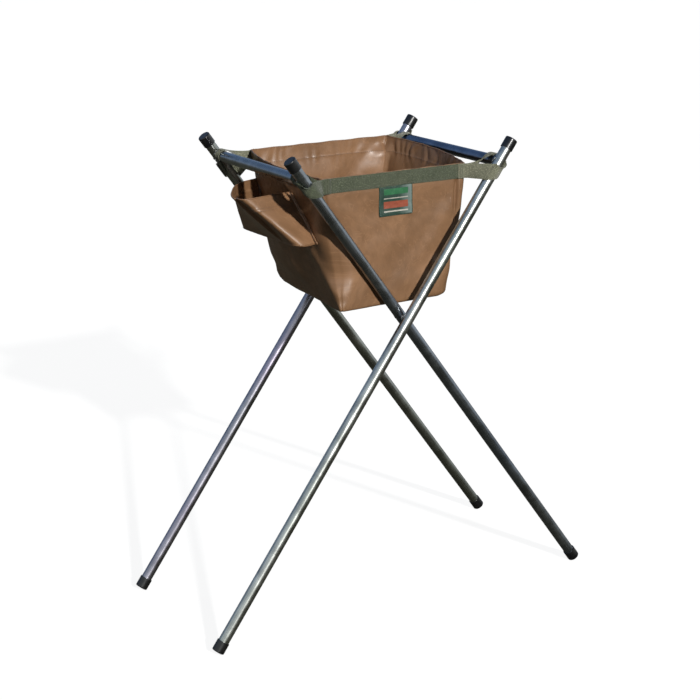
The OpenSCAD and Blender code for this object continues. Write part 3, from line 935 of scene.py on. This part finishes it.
def leg_wrap(corner):
    """The turn of webbing round the leg, which then climbs over the rail's joint and lies on the rail."""
    top, bottom = corner.leg_z, corner.leg_z - WEB_W
    middle = (top + bottom) / 2
    level_rows, climb_rows, joint_rows, rail_rows = 9, 24, 16, 14
    rows = []
    for k in range(level_rows):
        edges = []
        for z in (top, bottom):
            angle = mix(corner.touch_angle(z) + math.radians(14), -math.pi / 2, k / level_rows)
            edges.append([corner.level_round_leg(z, lift, angle) for lift in (0, WEB_T)])
        rows.append((edges[0][0], edges[1][0], (edges[0][1] - edges[0][0]).normalized()))
    for k in range(climb_rows + 1):
        travel = TURN_PAST_LEG * k / climb_rows
        inner = [corner.past_front(z, 0, travel) for z in (top, middle, bottom)]
        outer = corner.past_front(middle, WEB_T, travel)
        rows.append((inner[0], inner[2], (outer - inner[1]).normalized()))
    before, last = [corner.past_front(middle, 0, travel) for travel in (TURN_PAST_LEG - MM, TURN_PAST_LEG)]
    start, end = TURN_ON_RAIL
    way = (last - before).normalized()
    rows += curve_rows(rows[-1], way, corner.on_rail(start, 0), way_round_rail(start), joint_rows)
    rows += [corner.on_rail(mix(start, end, k / rail_rows), 0) for k in range(1, rail_rows + 1)]
    return placed_band(corner, rows, WEB_W * math.tan(LEAN))


def strap_arm(corner):
    """The webbing from the panel's corner to the leg, and its turn round the leg, outside everything."""
    edges = []
    for z in (corner.rim_z + 0.7 * MM, corner.rim_z - WEB_W + 0.3 * MM):
        start = Vector((-corner.rim_x, -FACE_Y - 0.35 * MM, z))
        on_panel = [start + Vector((d * MM, -WEB_T, 0)) for d in (15, 11, 7)]
        on_leg = z - corner.rim_z + corner.leg_z
        touch = corner.touch_angle(on_leg)
        leave = corner.level_round_leg(on_leg, SECOND_LAYER, touch)
        bent = [bend(on_panel[-1], start + Vector((0, -WEB_T, 0)), start.lerp(leave, 0.2), t)
                for t in (0.2, 0.4, 0.6, 0.8, 1.0)]
        straight = [start.lerp(leave, 0.2 + 0.8 * k / 10) for k in range(1, 10)]
        level = [corner.level_round_leg(on_leg, SECOND_LAYER, mix(touch, -math.pi / 2, k / LEVEL_ROWS))
                 for k in range(LEVEL_ROWS)]
        climb = [corner.past_front(on_leg, SECOND_LAYER, STRAP_PAST_LEG * k / (CLIMB_ROWS - 1))
                 for k in range(CLIMB_ROWS)]
        edges.append(on_panel + bent + straight + level + climb)
    rows = []
    for k, (top, bottom) in enumerate(zip(*edges)):
        a, b = max(k - 1, 0), min(k + 1, len(edges[0]) - 1)
        way = edges[0][b] + edges[1][b] - edges[0][a] - edges[1][a]
        rows.append((top, bottom, way.cross(bottom - top).normalized()))
    at_leg = len(rows) - LEVEL_ROWS - CLIMB_ROWS
    return placed_band(corner, rows[:at_leg + 1]), placed_band(corner, rows[at_leg:])


def return_arm(corner):
    """The end of the webbing: it comes back over the rail, then down to the corner behind the outer strap."""
    start, end = END_ON_RAIL
    over_rail = [corner.on_rail(mix(start, end, k / 6), SECOND_LAYER) for k in range(7)]
    top = Vector((-corner.rim_x - 1.5 * MM, -FACE_Y - 0.6 * MM, corner.rim_z - 0.5 * MM))
    low = top - Vector((0, 0, WEB_W - 1 * MM))
    down = curve_rows(over_rail[-1], way_round_rail(end), (top, low, None), Vector((1, 0, 0)), 24)
    return placed_band(corner, over_rail[-1:] + down), placed_band(corner, over_rail)


STRAP_PITCH = 4.2 * MM
STRAP_INSET = 3.2 * MM
# Tacks in a column at each end of a rim strap, and their spacing
TACKS, TACK_PITCH = 17, 1.25 * MM


def rim_strap(name, sign, rim_z, left_x, right_x, replaced):
    """The strap sewn along the rim of the front or the rear panel, with its rows of stitches."""
    def wave(x):
        return 0.5 * MM * wobble(x * 22, 3.0 * sign, rim_z)

    rows, marks = [], []
    steps = 90
    normal = Vector((0, sign, 0))
    for k in range(steps + 1):
        x = mix(left_x + 2 * MM, right_x - 2 * MM, k / steps)
        y = sign * (FACE_Y + 0.15 * MM + 0.25 * MM * abs(wobble(x * 31, 5.0, rim_z)))
        top = Vector((x, y, rim_z + 0.6 * MM + wave(x)))
        bottom = Vector((x, y - sign * 0.1 * MM, rim_z - WEB_W + 0.4 * MM + 0.7 * wave(x)))
        rows.append((top, bottom, normal))
    strap = outward(piece(name, *band_mesh(rows), olive_webbing, "webbing"))
    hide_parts(replaced)
    soft(strap)
    count = int((right_x - left_x) / STRAP_PITCH)
    for k in range(2, count - 1):
        x = mix(left_x, right_x, k / count)
        for inset in (STRAP_INSET, WEB_W - STRAP_INSET):
            z = rim_z + 0.5 * MM + wave(x) - inset
            marks.append((Vector((x, sign * (FACE_Y + WEB_T + 0.4 * MM), z)), Vector((1, 0, 0)), normal))
    # Dense tacks over the panel's two ends
    for x in (left_x + 6 * MM, left_x + 10 * MM, right_x - 6 * MM, right_x - 10 * MM):
        for k in range(TACKS):
            z = rim_z - 2.4 * MM - k * TACK_PITCH
            direction = Vector((1, 0, 0.35 if k % 2 else -0.35)).normalized()
            marks.append((Vector((x, sign * (FACE_Y + 2 * WEB_T + 0.5 * MM), z)), direction, normal))
    soft(stitches(name + "_stitches", marks, olive_thread, "webbing"))


CORNERS = [
    Corner("front_left", "left_frame", 1, 1, INNER_LEG_Y, -front_rim[0], FRONT_RIM),
    Corner("front_right", "right_frame", -1, 1, OUTER_LEG_Y, front_rim[1], FRONT_RIM),
    Corner("rear_right", "right_frame", -1, -1, INNER_LEG_Y, rear_rim[1], REAR_RIM),
    Corner("rear_left", "left_frame", 1, -1, OUTER_LEG_Y, -rear_rim[0], REAR_RIM, drop=26 * MM),
]
rim_strap("front_rim_strap", -1, FRONT_RIM, front_rim[0], front_rim[1], "front_strap")
rim_strap("rear_rim_strap", 1, REAR_RIM, rear_rim[0], rear_rim[1], "rear_strap")
for corner in CORNERS:
    # The front-left corner lies in shade and keeps the olive webbing; the other corners take the lighter copy
    # with painted light
    webbing = olive_webbing if corner.name == "front_left" else painted_lit_webbing
    loop = outward(piece(corner.name + "_loop", *leg_wrap(corner), webbing, "webbing"))
    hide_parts(corner.name + "_strap_loop")
    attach(loop, corner.body)
    free, held = zip(strap_arm(corner), return_arm(corner))
    soft(outward(piece(corner.name + "_strap_end", *joined(free), webbing, "webbing")))
    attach(outward(piece(corner.name + "_strap_turn", *joined(held), webbing, "webbing")), corner.body)


# ---- Side pocket -----------------------------------------------------------------------------------

pocket_low, pocket_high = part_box("side_pocket")
POCKET_TOP, POCKET_BOTTOM = pocket_high.z, pocket_low.z


def left_face_x(y, z):
    """X of the left panel's outer face at y and z."""
    along = (y + FACE_Y) / (2 * FACE_Y)
    down = (rim_height(y) - z) / (rim_height(y) - FLOOR_Z)
    rim = mix(front_rim[0], rear_rim[0], along) - BULGE * (1 - (y / FACE_Y) ** 2)
    return mix(rim, mix(front_foot[0], rear_foot[0], along), down)


def panel_surface_x(y, z):
    """X of the modelled left panel, wrinkles included, at y and z."""
    down = (rim_height(y) - z) / (rim_height(y) - FLOOR_Z)
    along = (FACE_Y - y) / (2 * FACE_Y)
    point = Vector((left_face_x(y, z), y, z))
    return point.x - shell_shift(point, 3 + min(max(along, 0.01), 0.99), down)


def against_panel(y, z, gap):
    """A point that stands off the modelled left panel by a gap."""
    return Vector((panel_surface_x(y, z) - gap, y, z))


STRAIGHT_STEPS, ROUND_STEPS = 18, 14
POCKET_GAP = 0.8 * MM
# Height of the folded hem round the pocket's mouth
POCKET_HEM = 17 * MM
# Depths in mm of the wall's closer rows and of its stitches, and the number of even rows below them
POCKET_DEPTHS = [0, 0.8, 3, 7, 11, 14, 16, 17, 17.8, 18.6, 19.6, 20.6, 21.6, 23, 26]
STITCH_DEPTHS = (17, 20.6)
WALL_STEPS = 20


def rounded(points, radii):
    """Plan polyline with rounded corners. Each straight and each corner has the same number of points."""
    path, last = [], points[0]
    for a, b, c, radius in zip(points, points[1:], points[2:], radii):
        start = b + (a - b).normalized() * min(radius, 0.48 * (b - a).length)
        end = b + (c - b).normalized() * min(radius, 0.48 * (c - b).length)
        path += [last.lerp(start, k / STRAIGHT_STEPS) for k in range(STRAIGHT_STEPS)]
        path += [bend(start, b, end, k / ROUND_STEPS) for k in range(ROUND_STEPS)]
        last = end
    return path + [last.lerp(points[-1], k / STRAIGHT_STEPS) for k in range(STRAIGHT_STEPS + 1)]


def pocket_outlines():
    """Plan paths of the pocket's mouth and of its bottom, from the rear to the front."""
    reach = -pocket_low.x
    low_reach = -left_face_x(0, POCKET_BOTTOM) + 42 * MM
    front, rear = -pocket_low.y, pocket_high.y
    mouth_front, foot_front = -0.40 * front, -0.91 * front
    mouth = [(left_face_x(rear, POCKET_TOP), rear), (-reach + 74 * MM, rear - 15 * MM), (-reach + 17 * MM, 0),
             (-reach + 2 * MM, -0.66 * front), (left_face_x(mouth_front, POCKET_TOP), mouth_front)]
    foot_rear = rear - 2 * MM
    bottom = [(left_face_x(foot_rear, POCKET_BOTTOM), foot_rear), (-low_reach - 4 * MM, rear - 4 * MM),
              (-low_reach - 1 * MM, -18 * MM), (-low_reach + 3 * MM, -front),
              (left_face_x(foot_front, POCKET_BOTTOM), foot_front)]
    return (rounded([Vector(p) for p in mouth], [60 * MM, 40 * MM, 30 * MM]),
            rounded([Vector(p) for p in bottom], [30 * MM, 30 * MM, 22 * MM]))


def pocket_swell(share, down):
    """How far the pocket's wall stands out from its plain shape, at shares of the way round and down."""
    depth = down * (POCKET_TOP - POCKET_BOTTOM)
    free = math.sin(math.pi * share) ** 0.5 if 0 < share < 1 else 0.0
    swell = 3.5 * MM * math.sin(math.pi * down)
    swell += 1.4 * MM * wobble(share * 7, down * 3, 4.0) * ease(0.2, 0.5, down)
    # The hem is thicker, its stitches draw in, and the cloth puckers below them
    swell += 1.4 * MM * (1 - ease(POCKET_HEM, 18.6 * MM, depth))
    swell -= 0.9 * MM * (bell(depth - 17.4 * MM, 1.0 * MM) + bell(depth - 20.6 * MM, 0.9 * MM))
    swell += 0.6 * MM * math.sin(share * 70) * bell(depth - 25 * MM, 7 * MM)
    return swell * free


def pocket_wall():
    """Rows of points down the pocket's wall, from its mouth to its bottom."""
    mouth_path, bottom_path = pocket_outlines()
    count = len(mouth_path)
    shares = [d * MM / (POCKET_TOP - POCKET_BOTTOM) for d in POCKET_DEPTHS]
    shares += [mix(shares[-1], 1.0, (k + 1) / WALL_STEPS) for k in range(WALL_STEPS)]
    rows = []
    for down in shares:
        row = []
        for k in range(count):
            share = k / (count - 1)
            tangent = (mouth_path[min(k + 1, count - 1)] - mouth_path[max(k - 1, 0)]).normalized()
            normal = Vector((-tangent.y, tangent.x))
            if normal.x > 0 and share < 0.6:
                normal = -normal
            # The mouth sags, most of all in its rear half
            sag = -3.0 * MM * math.sin(math.pi * min(share / 0.62, 1.0)) + 1.2 * MM * math.sin(9 * share)
            z = mix(POCKET_TOP, POCKET_BOTTOM, down) + sag * (1 - down)
            place = mouth_path[k].lerp(bottom_path[k], down) + normal * pocket_swell(share, down)
            on_panel = k in (0, count - 1)
            row.append(against_panel(place.y, z, POCKET_GAP) if on_panel else Vector((place.x, place.y, z)))
        rows.append(row)
    return rows


def pocket_floor(foot):
    """Rows of points in under the pocket: round its lower edge, then in to the panel."""
    spine = [against_panel(p.y, POCKET_BOTTOM, 1.0 * MM) for p in foot]
    edge_in, edge_down, flat_rows = 6 * MM, 2.5 * MM, 8
    rows = []
    for turn in (20, 45, 70, 90):
        a = math.radians(turn)
        row = []
        for p, s in zip(foot, spine):
            inward = Vector((s.x - p.x, s.y * 0.96 - p.y, 0))
            step = min(edge_in, inward.length)
            inward = inward.normalized() if inward.length > 1e-6 else Vector()
            row.append(p + inward * step * (1 - math.cos(a)) + Vector((0, 0, -edge_down * math.sin(a))))
        rows.append(row)
    last = rows[-1]
    for k in range(1, flat_rows + 1):
        share = k / flat_rows
        rows.append([mix(p, Vector((s.x, s.y * 0.96, p.z + 1.5 * MM)), share) for p, s in zip(last, spine)])
    return rows


def build_pocket():
    rows = []
    for row in pocket_wall():
        first, last = row[0], row[-1]
        rear = [against_panel(first.y + d * MM, first.z, POCKET_GAP) for d in (8, 4)]
        front = [against_panel(last.y - d * MM, last.z, POCKET_GAP) for d in (4, 8)]
        rows.append(rear + row + front)
    rows += pocket_floor(rows[-1])
    us, vs = lengths_along(rows[0]), lengths_along([row[len(row) // 2] for row in rows])
    obj = piece("side_pocket_bag", *grid(rows, us, vs), pocket_fabric, "coated_fabric")
    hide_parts("side_pocket")
    solidify(obj, FABRIC_T, 0.0)
    soft(obj)
    return rows


pocket_grid = build_pocket()
pocket_size = len(pocket_grid[0])
foot_row = len(POCKET_DEPTHS) + WALL_STEPS - 1
# The mouth's fold leaves out the two points at each end that lie flat on the panel
mouth_points = [p + Vector((0, 0, 0.3 * MM)) for p in pocket_grid[0][2:-2]]
piping_points = pocket_grid[foot_row][int(pocket_size * 0.04):int(pocket_size * 0.965)]
for name, points in (("pocket_mouth_fold", mouth_points), ("pocket_piping", piping_points)):
    soft(outward(piece(name, *tube_mesh(points, 1.1 * MM), pocket_fabric, "coated_fabric")))

POCKET_PITCH = 4.0 * MM
pocket_marks = []
for r in (POCKET_DEPTHS.index(depth) for depth in STITCH_DEPTHS):
    for c in range(4, pocket_size - 4):
        p, above, below = pocket_grid[r][c], pocket_grid[r - 1][c], pocket_grid[r + 1][c]
        normal = (below - above).cross(pocket_grid[r][c + 1] - pocket_grid[r][c - 1]).normalized()
        if normal.x > 0 and normal.y > 0:
            normal = -normal
        step = pocket_grid[r][c + 1] - p
        if c % max(1, round(POCKET_PITCH / step.length)) == 0:
            pocket_marks.append((p + normal * 0.5 * MM, step.normalized(), normal))
# Down each side, on the edge that lies on the panel, wherever the rows stand a stitch apart
for column, inner in ((0, 1), (pocket_size - 1, pocket_size - 2)):
    seam = [pocket_grid[k][column].lerp(pocket_grid[k][inner], 0.4) for k in range(1, foot_row + 1)]
    for a, b in zip(seam, seam[1:]):
        if (b - a).length > 2.5 * MM:
            middle = (a + b) / 2 - Vector((0.6 * MM, 0, 0))
            pocket_marks.append((middle, (b - a).normalized(), Vector((-1, 0, 0))))
soft(stitches("pocket_stitches", pocket_marks, brown_thread, "coated_fabric", 2.4 * MM, 0.38 * MM))


# ---- Label -----------------------------------------------------------------------------------------

label_low, label_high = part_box("label_patch")
LABEL_W, LABEL_H = label_high.x - label_low.x, label_high.z - label_low.z


def panel_surface_y(x, z):
    """Y of the modelled front panel, wrinkles included, at x and z."""
    down = (FRONT_RIM - z) / (FRONT_RIM - FLOOR_Z)
    left, right = mix(front_rim[0], front_foot[0], down), mix(front_rim[1], front_foot[1], down)
    along = (x - left) / (right - left)
    point = Vector((x, -FACE_Y, z))
    return -FACE_Y - shell_shift(point, along, down)


def label_point(s, t):
    """A point of the label, at shares of the way across and down it. Its lower edge curls off the panel."""
    x = mix(label_low.x, label_high.x, s)
    z = mix(label_high.z + 1.5 * MM, label_low.z, t)
    curl = 1.5 * MM * ease(0.55, 1.0, t) * (0.35 + 0.65 * abs(2 * s - 1) ** 2)
    puff = 0.5 * MM * math.sin(math.pi * s) * math.sin(math.pi * t)
    return Vector((x, panel_surface_y(x, z) - 0.7 * MM - curl - puff, z))


LABEL_COLUMNS, LABEL_ROWS = 36, 28
across = [c / LABEL_COLUMNS for c in range(LABEL_COLUMNS + 1)]
downwards = [r / LABEL_ROWS for r in range(LABEL_ROWS + 1)]
label_mesh = grid([[label_point(s, t) for s in across] for t in downwards],
                  [LABEL_W * s for s in across], [LABEL_H * (1 - t) for t in downwards])
label = piece("woven_label", *label_mesh, label_look(LABEL_W, LABEL_H), "label")
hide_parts("label_patch")
solidify(label, 0.6 * MM, 0.0)
soft(label)
border = [label_point(s, 0) for s in across[:-1]] + [label_point(1, t) for t in downwards[:-1]]
border += [label_point(1 - s, 1) for s in across[:-1]] + [label_point(0, 1 - t) for t in downwards[:-1]]
BORDER_R = 0.85 * MM
border_radii = [BORDER_R + 0.12 * MM * math.sin(k * 2.1) for k in range(len(border))]
border_look = webbing_look("label_border", (0.016, 0.06, 0.04), (0.03, 0.09, 0.06))
border_mesh = tube_mesh(border, BORDER_R, closed=True, radii=border_radii)
soft(outward(piece("label_border", *border_mesh, border_look, "label")))


# ---- Welds -----------------------------------------------------------------------------------------

def weld(name, body, sign_x, leg_y_signed):
    """A bead of weld where a rail meets a leg."""
    leg_angle = math.atan2(math.cos(LEAN), sign_x * math.sin(LEAN))
    inward = -1 if leg_y_signed > 0 else 1
    reach = TUBE_R + 0.3 * MM
    points, radii = [], []
    steps = 64
    for k in range(steps):
        a = 2 * math.pi * k / steps
        y = leg_y_signed + inward * reach * math.sqrt(max(1e-4, 1 - math.sin(a - leg_angle) ** 2) + 0.02)
        points.append(Vector((sign_x * RAIL_X + reach * math.cos(a), y, RAIL_Z + reach * math.sin(a))))
        uneven = 0.35 * math.sin(k * 1.35) + 0.25 * wobble(k * 0.7, sign_x, leg_y_signed * 9)
        radii.append((1.35 + uneven) * MM)
    bead = tube_mesh(points, 1.4 * MM, 10, closed=True, radii=radii)
    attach(outward(piece(name, *bead, weld_steel, "tube_steel")), body)


weld_steel = steel_look("weld_steel", 0.0, (0.42, 0.42, 0.40), (0.25, 0.24, 0.22), 8.3)
weld("left_frame_front_weld", "left_frame", -1, -INNER_LEG_Y)
weld("left_frame_rear_weld", "left_frame", -1, OUTER_LEG_Y)
weld("right_frame_front_weld", "right_frame", 1, -OUTER_LEG_Y)
weld("right_frame_rear_weld", "right_frame", 1, INNER_LEG_Y)


# ---- Floor, lights and camera ----------------------------------------------------------------------

FLOOR_GLOW = 1.2


def make_floor():
    """A wide, pale, partly glowing floor that lights no other surface and isn't mirrored in any."""
    look = Look("pale_floor", Roughness=0.9, Specular_IOR_Level=0.1)
    grain = look.noise(look.object_point(), 60.0, 3.0)
    look.surface(look.ramp(grain, (0.3, 0.86), (0.7, 0.88)))
    glow = look.add("Emission", {"Color": (1, 1, 1, 1), "Strength": FLOOR_GLOW})
    both = look.add("MixShader", {0: 0.75, 1: look.shader.outputs[0], 2: glow})
    look.tree.links.new(both, look.tree.nodes["Material Output"].inputs[0])
    radius, sides = 60.0, 96
    turns = [2 * math.pi * k / sides for k in range(sides)]
    verts = [(radius * math.cos(a), radius * math.sin(a), -0.3 * MM) for a in turns]
    mesh = bpy.data.meshes.new("floor")
    mesh.from_pydata(verts, [], [tuple(range(sides))])
    mesh.materials.append(look.material)
    floor = bpy.data.objects.new("floor", mesh)
    bpy.context.scene.collection.objects.link(floor)
    floor.visible_diffuse = False
    floor.visible_glossy = False


def make_world():
    """White to the camera and dim to matt surfaces. Glossy ones mirror a pale front and a dark blue back."""
    world = bpy.data.worlds.new("studio")
    world.use_nodes = True
    bpy.context.scene.world = world
    sky = Nodes(world.node_tree)
    sky.tree.nodes.clear()
    direction = sky.tree.nodes.new("ShaderNodeSeparateXYZ")
    sky.tree.links.new(sky.add("TexCoord", out="Generated"), direction.inputs[0])
    # From straight down, at 0, to straight up, at 1
    height = sky.scaled(direction.outputs[2], 0.5, 0.5)
    ground = ((0.0, (0.05, 0.05, 0.04)), (0.38, (0.09, 0.09, 0.07)))
    front = sky.ramp(height, *ground, (0.49, (0.15, 0.16, 0.16)), (0.54, (0.92, 0.97, 1.0)),
                     (0.72, (0.90, 0.96, 1.0)), (0.86, (0.24, 0.36, 0.56)), (1.0, (0.07, 0.14, 0.30)))
    back = sky.ramp(height, *ground, (0.49, (0.14, 0.15, 0.15)), (0.52, (0.34, 0.40, 0.48)),
                    (0.58, (0.24, 0.34, 0.50)), (0.8, (0.13, 0.21, 0.36)), (1.0, (0.06, 0.11, 0.22)))
    behind = sky.add("MapRange", {"From Min": 0.15, "From Max": 0.75, "Value": direction.outputs[1]},
                     interpolation_type="SMOOTHSTEP")
    dim = sky.ramp(height, (0.0, (0.50, 0.44, 0.36)), (0.45, (0.55, 0.52, 0.48)), (0.6, (0.75, 0.82, 0.92)),
                   (1.0, (0.60, 0.75, 1.0)))
    mirrored = sky.add("Background", {0: sky.blend(behind, front, back), 1: 1.0})
    shown = sky.add("Background", {0: dim, 1: 0.085})
    seen = sky.add("Background", {0: (1, 1, 1, 1), 1: 1.0})
    for ray, other in (("Is Glossy Ray", mirrored), ("Is Camera Ray", seen)):
        shown = sky.add("MixShader", {0: sky.add("LightPath", out=ray), 1: shown, 2: other})
    sky.tree.links.new(shown, sky.tree.nodes.new("ShaderNodeOutputWorld").inputs[0])


def direction_from(azimuth, elevation):
    """Unit vector towards a place at an azimuth to the right of the front and an elevation, in degrees."""
    a, e = math.radians(azimuth), math.radians(elevation)
    return Vector((math.sin(a) * math.cos(e), -math.cos(a) * math.cos(e), math.sin(e)))


def lamp(name, azimuth, elevation, energy, colour, sun=False):
    """A sun, or a disk lamp that shiny surfaces don't mirror, aimed at the basin."""
    data = bpy.data.lights.new(name, "SUN" if sun else "AREA")
    data.energy = energy
    data.color = colour
    if sun:
        data.angle = math.radians(SUN_ANGLE)
    else:
        data.shape = "DISK"
        data.size = LAMP_SIZE
    towards = direction_from(azimuth, elevation)
    obj = bpy.data.objects.new(name, data)
    obj.location = Vector((0, 0, 0.65)) + towards * LAMP_DISTANCE
    obj.rotation_mode = "QUATERNION"
    obj.rotation_quaternion = (-towards).to_track_quat("-Z", "Y")
    obj.visible_glossy = sun
    bpy.context.scene.collection.objects.link(obj)


def make_camera():
    """The camera at the photograph's viewing angle, with a slight roll."""
    azimuth, elevation, roll = -29.93, 15.76, math.radians(-0.79)
    data = bpy.data.cameras.new("camera")
    data.sensor_width = 36.0
    data.lens = 90.7488
    data.clip_start, data.clip_end = 0.05, 200
    camera = bpy.data.objects.new("camera", data)
    bpy.context.scene.collection.objects.link(camera)
    camera.location = Vector((-1.537, -2.640, 1.297))
    back = direction_from(azimuth, elevation)
    camera.rotation_mode = "QUATERNION"
    camera.rotation_quaternion = Quaternion(back, roll) @ (-back).to_track_quat("-Z", "Y")
    bpy.context.scene.camera = camera


SUN_ANGLE = 2.0
LAMP_SIZE, LAMP_DISTANCE = 1.6, 3.2
make_floor()
make_world()
lamp("key", -4, 24, 3.4, (1.0, 0.98, 0.95), sun=True)
lamp("soft_back", 165, 40, 16.0, (0.92, 0.96, 1.0))
lamp("soft_left", -95, 20, 0.4, (0.93, 0.97, 1.0))
make_camera()
bpy.context.scene.view_settings.view_transform = "Standard"
bpy.context.scene.view_settings.look = "None"
